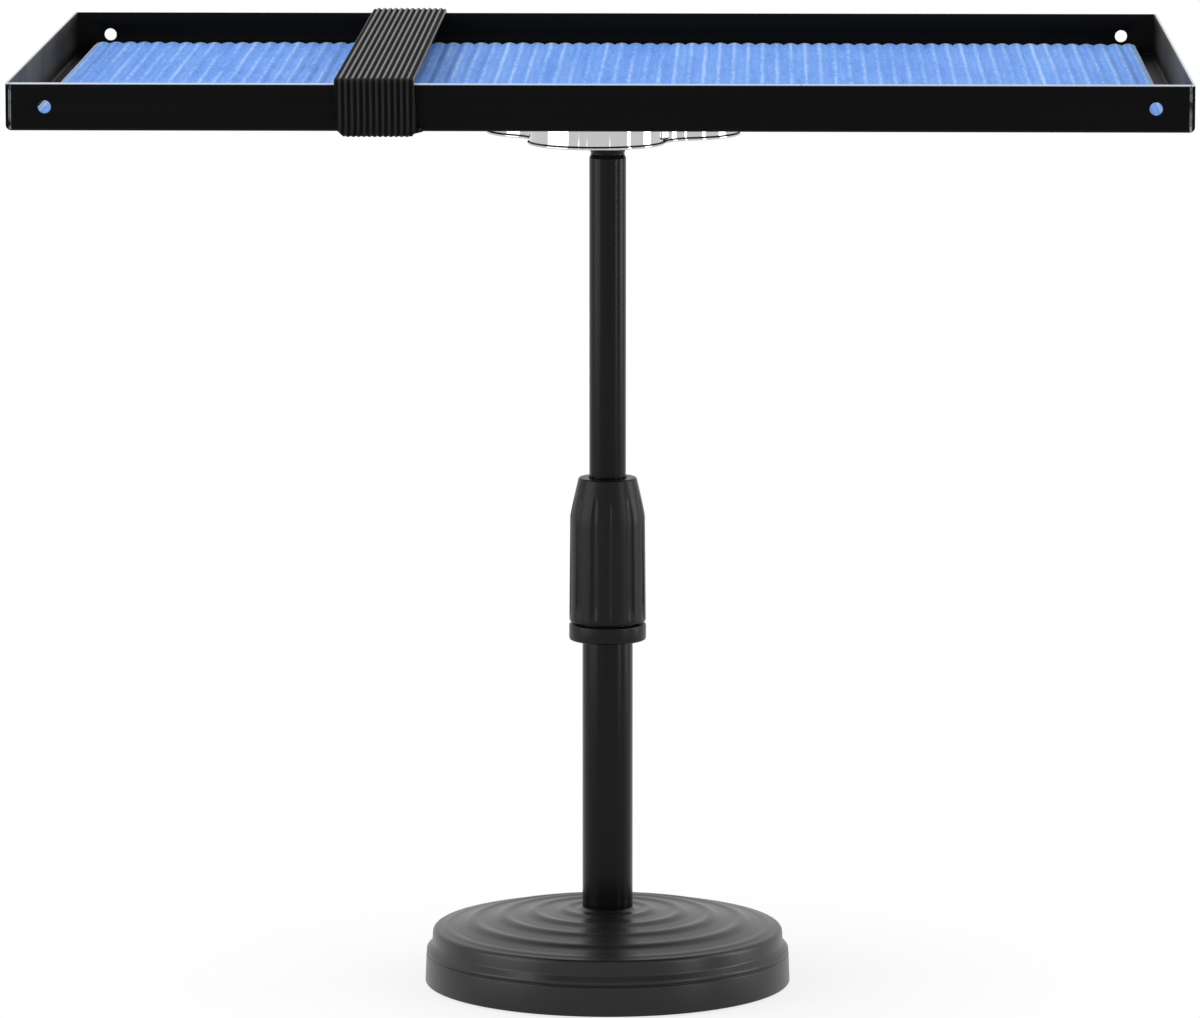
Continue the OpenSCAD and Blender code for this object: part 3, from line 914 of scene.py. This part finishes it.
class TRAYSTAND_OT_hub(PieceOperator, Operator):
    """Add the chrome three-lobed hub, its screws and the mounting plate"""

    bl_idname = "traystand.hub"
    bl_label = "Hub"

    def trefoil(self, grow, z):
        """The lobed outline at a height, grown outwards by a width."""
        s = self.sizes.hub
        lobe, reach, hollow = s.lobe / MM, s.reach / MM, s.hollow / MM
        centre = reach / 2 + math.sqrt((lobe + hollow) ** 2 - 0.75 * reach**2)
        sixty = math.radians(60)
        span = math.degrees(
            math.atan2(centre * math.sin(sixty), centre * math.cos(sixty) - reach)
        )
        points = []
        for i in range(3):
            turn = 120 * i - 90 + math.degrees(s.turn)
            a = math.radians(turn)
            b = a + sixty
            points += arc(
                reach * math.cos(a), reach * math.sin(a), lobe + grow, turn - span, turn + span, 44
            )
            points += arc(
                centre * math.cos(b),
                centre * math.sin(b),
                hollow - grow,
                turn + 180 + span,
                turn + 300 - span,
                16,
            )[1:-1]
        return [(x * MM, y * MM, z * MM) for x, y in points]

    def execute(self, context):
        s = self.sizes.hub
        low, high = node_mm("hub", 2)
        wall = s.wall / MM
        walls = eased(
            [
                (-wall, low, 0.5),
                (0.8, low, 0.6),
                (0.8, low + 1.0, 0.35),
                (0.0, low + 1.4, 0.3),
                (0.0, high, 1.2),
                (-wall, high),
            ]
        )
        inner = [(-wall, high - wall), (-wall, low + 0.6)]
        rings = [self.trefoil(g, z) for g, z in walls[:-1]]
        polish = chrome("hub_chrome", self.sizes.finish.chrome)
        bm = stacked(rings)
        top = [e for e in bm.edges if e.is_boundary and e.verts[0].co.z > (high - 0.2) * MM]
        bmesh.ops.holes_fill(bm, edges=top, sides=0)
        under = stacked([self.trefoil(g, z) for g, z in inner])
        bm = joined(bm, under)
        ceiling = [
            e
            for e in bm.edges
            if e.is_boundary and all(v.co.z > (high - wall - 0.1) * MM for v in e.verts)
        ]
        bmesh.ops.holes_fill(bm, edges=ceiling, sides=0)
        lips = [e for e in bm.edges if e.is_boundary]
        bmesh.ops.bridge_loops(bm, edges=lips)

        boss_low, boss_radius, pad_radius = low + 1, 14, 7
        sunk = high - wall + 0.3
        bore = node_mm("thread_plug", 0)[1] - 0.4
        boss = eased(
            [(bore, boss_low, 0.5), (boss_radius, boss_low, 0.8), (boss_radius, sunk), (bore, sunk)]
        )
        bm = joined(bm, spun(boss, 96))
        for i in range(3):
            turn = math.radians(120 * i - 30) + s.turn
            bm = joined(bm, bar((13.4, 34.2), wall, (low + 5, sunk), 0.6, turn))
            lowest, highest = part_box(f"hub_screw_{i + 1}")
            seat_z = lowest.z / MM + s.screw_head / MM
            pad_outline = eased(
                [(0, seat_z), (pad_radius, seat_z, 0.4), (pad_radius, sunk), (0, sunk)]
            )
            pad = spun(pad_outline, 48)
            centre = ((lowest.x + highest.x) / 2, (lowest.y + highest.y) / 2, 0)
            bmesh.ops.translate(pad, verts=pad.verts, vec=centre)
            bm = joined(bm, pad)
        hub = finish_mesh("lobed_hub", bm, polish)
        seat(hub, "table", ["hub"])

        zinc = turned_metal("screw_zinc", (0.50, 0.51, 0.52), 0.3)
        for i in (1, 2, 3):
            screw = refined_copy(f"hub_screw_{i}", f"lobe_screw_{i}", zinc, 0.35)
            seat(screw, "table", [f"hub_screw_{i}"])
        primer = coat("plate_coat", (0.02, 0.02, 0.021), 0.5)
        plate = refined_copy("mounting_plate", "tray_plate", primer, 0.4)
        seat(plate, "table", ["mounting_plate"])
        return {"FINISHED"}


class TRAYSTAND_OT_tray(PieceOperator, Operator):
    """Add the folded sheet-metal tray"""

    bl_idname = "traystand.tray"
    bl_label = "Tray"

    def execute(self, context):
        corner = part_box("tray")[1]
        seam = corner.x - 1.75 * MM
        black = sheet_coat("tray_powder", self.sizes.finish.tray_coat, corner, corner.z, seam)
        tray = refined_copy("tray", "folded_tray", black, 0.3)
        seat(tray, "table", ["tray"])
        return {"FINISHED"}


class TRAYSTAND_OT_mat(PieceOperator, Operator):
    """Add the ribbed blue mat"""

    bl_idname = "traystand.mat"
    bl_label = "Mat"

    def execute(self, context):
        s = self.sizes.mat
        finish = self.sizes.finish
        low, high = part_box("mat")
        wide, deep = high.x - low.x, high.y - low.y
        pitch = wide / s.ribs
        per_rib, rows = 8, 56
        bm = bmesh.new()
        bmesh.ops.create_grid(bm, x_segments=s.ribs * per_rib, y_segments=rows, size=0.5)
        bmesh.ops.scale(bm, verts=bm.verts, vec=(wide, deep, 1))
        border = [e for e in bm.edges if e.is_boundary]
        side = bmesh.ops.extrude_edge_only(bm, edges=border)["geom"]
        foot = {g for g in side if isinstance(g, bmesh.types.BMVert)}
        wander = s.unevenness
        for v in bm.verts:
            x, y = v.co.x, v.co.y
            u = ((x + wide / 2) / pitch) % 1.0 * 2 - 1
            valley = abs(u) ** 2.1
            wave = noise.noise(Vector((x * 30, y * 18, 3))) * wander * 0.6
            ragged = abs(noise.noise(Vector((x * 160, y * 160, 1)))) * wander
            near_x = max(0.0, 1 - (wide / 2 - abs(x)) / (4 * MM))
            near_y = max(0.0, 1 - (deep / 2 - abs(y)) / (4 * MM))
            draw_x = (ragged + 0.2 * MM) * near_x
            draw_y = (ragged + 0.1 * MM + s.scallop * valley) * near_y
            v.co.x = x - math.copysign(draw_x, x)
            v.co.y = y - math.copysign(draw_y, y)
            soft_edge = max(near_x, near_y) ** 3 * 0.4 * MM
            top = high.z - 0.2 * MM - s.rib_height * valley + wave - soft_edge
            v.co.z = low.z if v in foot else top
        rim = [e for e in bm.edges if e.is_boundary]
        bmesh.ops.holes_fill(bm, edges=rim, sides=0)
        foam = mat_foam("mat_foam", finish.mat, finish.mat_dark, finish.mat_highlight_and_core, pitch, low, high)
        mat = finish_mesh("ribbed_mat", bm, foam, sharp=math.radians(62))
        seat(mat, "table", ["mat"])
        return {"FINISHED"}


class TRAYSTAND_OT_band(PieceOperator, Operator):
    """Add the ribbed elastic band round the tray"""

    bl_idname = "traystand.band"
    bl_label = "Elastic band"

    def execute(self, context):
        s = self.sizes.band
        finish = self.sizes.finish
        low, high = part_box("strap")
        wide = high.x - low.x
        thick, selvedge = 2.0 * MM, 1.2 * MM
        pitch = (wide - 2 * selvedge) / s.ribs
        start = low.x + selvedge
        section = self.section(low.x, high.x, start, pitch, thick)
        half_y, half_z = (high.y - low.y) / 2, (high.z - low.z) / 2
        middle = Vector((0, (high.y + low.y) / 2, (high.z + low.z) / 2))
        path = self.loop(half_y, half_z, s.bend)
        centre_x = (low.x + high.x) / 2
        rings = []
        for place, out in path:
            lean, narrow = self.hang(place, out, half_y, half_z, wide)
            rings.append(
                [
                    (
                        centre_x + (x - centre_x) * narrow + lean,
                        middle.y + place.x - out.x * self.relief(inset, out),
                        middle.z + place.y - out.y * self.relief(inset, out),
                    )
                    for x, inset in section
                ]
            )
        bm = stacked(rings, closed_path=True)
        bm = joined(bm, self.sewn_end(high.x + s.lean, middle.y - half_y, low.z))
        cloth = webbing("band_webbing", finish.yarn, finish.yarn_highlight, pitch, start)
        band = finish_mesh("elastic_band", bm, cloth, sharp=math.radians(70))
        seat(band, "band", ["strap"])
        return {"FINISHED"}

    def relief(self, inset, out):
        """Depth below the outer face, where the ribs flatten on the band's sides and underside."""
        return inset if inset > 1.5 * MM else inset * (0.5 + 0.5 * max(0.0, out.y))

    def hang(self, place, out, half_y, half_z, wide):
        """How far the band leans and how much it narrows at a place of its loop."""
        s = self.sizes.band
        down = (half_z - place.y) / (2 * half_z)
        front = 0.5 - place.x / (2 * half_y)
        under = min(1.0, max(0.0, -out.y)) if place.y < 0 else 0.0
        return s.lean * down * front, 1 - 2 * s.gather / wide * under

    def sewn_end(self, right, front, low):
        """The corner of the sewn end, which stands out at the band's lower right edge."""
        bm = bmesh.new()
        bmesh.ops.create_cube(bm, size=1.0)
        bmesh.ops.scale(bm, verts=bm.verts, vec=(7 * MM, 1.5 * MM, 2.0 * MM))
        bmesh.ops.bevel(
            bm,
            geom=list(bm.edges),
            offset=0.4 * MM,
            segments=2,
            profile=0.5,
            affect="EDGES",
            material=-1,
        )
        bmesh.ops.rotate(
            bm, verts=bm.verts, cent=(0, 0, 0), matrix=Matrix.Rotation(math.radians(-14), 3, "Y")
        )
        place = (right - 1.2 * MM, front + 1.3 * MM, low + 2.6 * MM)
        bmesh.ops.translate(bm, verts=bm.verts, vec=place)
        return bm

    def section(self, left, right, start, pitch, thick):
        """The band's section as (x, depth below the outer face), ribbed on its outer side."""
        s = self.sizes.band
        points = [(left, thick), (left, 0.9 * MM), (left + 0.4 * MM, 0.45 * MM)]
        for i in range(s.ribs):
            for k in range(8):
                u = (k + 0.5) / 8 * 2 - 1
                points.append((start + pitch * (i + (u + 1) / 2), s.rib_height * abs(u) ** 1.5))
        points += [(right - 0.4 * MM, 0.45 * MM), (right, 0.9 * MM), (right, thick)]
        return points

    def loop(self, half_y, half_z, bend):
        """Places and outward directions round the band's outer face."""
        path = []
        for turn, sy, sz in ((0, 1, 1), (90, -1, 1), (180, -1, -1), (270, 1, -1)):
            centre = Vector((sy * (half_y - bend), sz * (half_z - bend)))
            for k in range(9):
                a = math.radians(turn + 90 * k / 8)
                out = Vector((math.cos(a), math.sin(a)))
                path.append((centre + out * bend, out))
            here = path[-1][0]
            if turn in (0, 180):
                stops, step = 40, Vector((-2 * sy * (half_y - bend), 0))
            else:
                stops, step = 4, Vector((0, -2 * sz * (half_z - bend)))
            for k in range(1, stops):
                path.append((here + step * k / stops, out))
        return path


def background_rays(s):
    """One for the rays that see the background: to the camera, off metal, or through glass."""
    kinds = ("Is Camera Ray", "Is Glossy Ray", "Is Transmission Ray")
    camera, glossy, transmission = [s.add("ShaderNodeLightPath", output=kind) for kind in kinds]
    return camera + glossy + transmission


class TRAYSTAND_OT_stage(PieceOperator, Operator):
    """Add the floor, the lamps, the world and the camera"""

    bl_idname = "traystand.stage"
    bl_label = "Stage"

    def lamp(self, name, place, aim, size, power):
        """A rectangular area lamp that points at a place."""
        light = bpy.data.lights.new(name, "AREA")
        light.shape = "RECTANGLE"
        light.size, light.size_y = size
        light.energy = power
        lamp = bpy.data.objects.new(name, light)
        lamp.location = place
        lamp.rotation_euler = (Vector(aim) - Vector(place)).to_track_quat("-Z", "Y").to_euler()
        bpy.context.scene.collection.objects.link(lamp)

    def execute(self, context):
        s = self.sizes.stage
        scene = context.scene
        scene.view_settings.view_transform = "Standard"

        bm = bmesh.new()
        bmesh.ops.create_circle(bm, cap_ends=True, radius=FLOOR_RADIUS, segments=96)
        bmesh.ops.translate(bm, verts=bm.verts, vec=(0, 0, -FLOOR_DROP))
        floor = finish_mesh("studio_floor", bm, self.floor_paint())

        world = bpy.data.worlds.new("studio")
        scene.world = world
        self.fill_world(world)

        for name, turn, foot, wide, high, power in STANDING_LAMPS:
            a = math.radians(turn)
            place = (LAMP_REACH * math.sin(a), -LAMP_REACH * math.cos(a), foot + high / 2)
            self.lamp(name, place, (0, 0, place[2]), (wide, high), power)
        self.lamp("key_box", KEY_PLACE, KEY_AIM, KEY_SIZE, KEY_POWER)

        camera = bpy.data.cameras.new("camera")
        camera.lens = s.lens
        camera.sensor_width = 36.0
        camera.clip_end = 50.0
        rig = bpy.data.objects.new("camera", camera)
        rig.location = (s.side, -s.distance, s.height)
        rig.rotation_euler = (math.pi / 2 - s.pitch, 0, s.yaw)
        scene.collection.objects.link(rig)
        scene.camera = rig
        return {"FINISHED"}

    def floor_paint(self):
        """A plain pale floor that is seen as white, with the object's soft shadow near its foot."""
        s = shader("floor_paint")
        seen = background_rays(s)
        away = s.add("ShaderNodeVectorMath", {"operation": "LENGTH"}, s.place(), output="Value")
        white = s.between(away, *SHADOW_REACH, SHADOW_WHITE, 1.0)
        lit = s.add("ShaderNodeBsdfDiffuse", None, (0.85, 0.85, 0.85))
        glow = s.add("ShaderNodeEmission", None, (1, 1, 1), 1.0)
        end = s.add("ShaderNodeMixShader", None, seen * white, lit, glow)
        s.add("ShaderNodeOutputMaterial", None, end, output=None)
        return s.owner

    def fill_world(self, world):
        """White to the rays that see the background, and the same soft light from every side."""
        s = Shader(world)
        seen = background_rays(s)
        soft = s.add("ShaderNodeBackground", None, (1, 1, 1), WORLD_LEVEL)
        white = s.add("ShaderNodeBackground", None, (1, 1, 1), 1.0)
        end = s.add("ShaderNodeMixShader", None, seen, soft, white)
        s.add("ShaderNodeOutputWorld", None, end, output=None)


class TRAYSTAND_PT_panel(Panel):
    """Lists the pieces of the tray stand"""

    bl_label = "Tray Stand"
    bl_idname = "TRAYSTAND_PT_panel"
    bl_space_type = "VIEW_3D"
    bl_region_type = "UI"
    bl_category = "Tray Stand"

    def draw(self, context):
        for operator in OPERATORS:
            self.layout.operator(operator.bl_idname)


SETTINGS = (
    BaseSizes,
    PoleSizes,
    ClutchSizes,
    HubSizes,
    MatSizes,
    BandSizes,
    Finishes,
    StageSizes,
    StandSettings,
)
OPERATORS = (
    TRAYSTAND_OT_stage,
    TRAYSTAND_OT_base,
    TRAYSTAND_OT_pole,
    TRAYSTAND_OT_clutch,
    TRAYSTAND_OT_hub,
    TRAYSTAND_OT_tray,
    TRAYSTAND_OT_mat,
    TRAYSTAND_OT_band,
)
CLASSES = (*SETTINGS, *OPERATORS, TRAYSTAND_PT_panel)


def register():
    """Registers the classes and the settings."""
    for cls in CLASSES:
        bpy.utils.register_class(cls)
    bpy.types.Scene.tray_stand = PointerProperty(type=StandSettings)


def unregister():
    """Removes the settings and the classes."""
    del bpy.types.Scene.tray_stand
    for cls in reversed(CLASSES):
        bpy.utils.unregister_class(cls)


def main():
    """Builds the stage and every piece."""
    register()
    for operator in OPERATORS:
        group, name = operator.bl_idname.split(".")
        getattr(getattr(bpy.ops, group), name)()


if __name__ == "__main__":
    main()
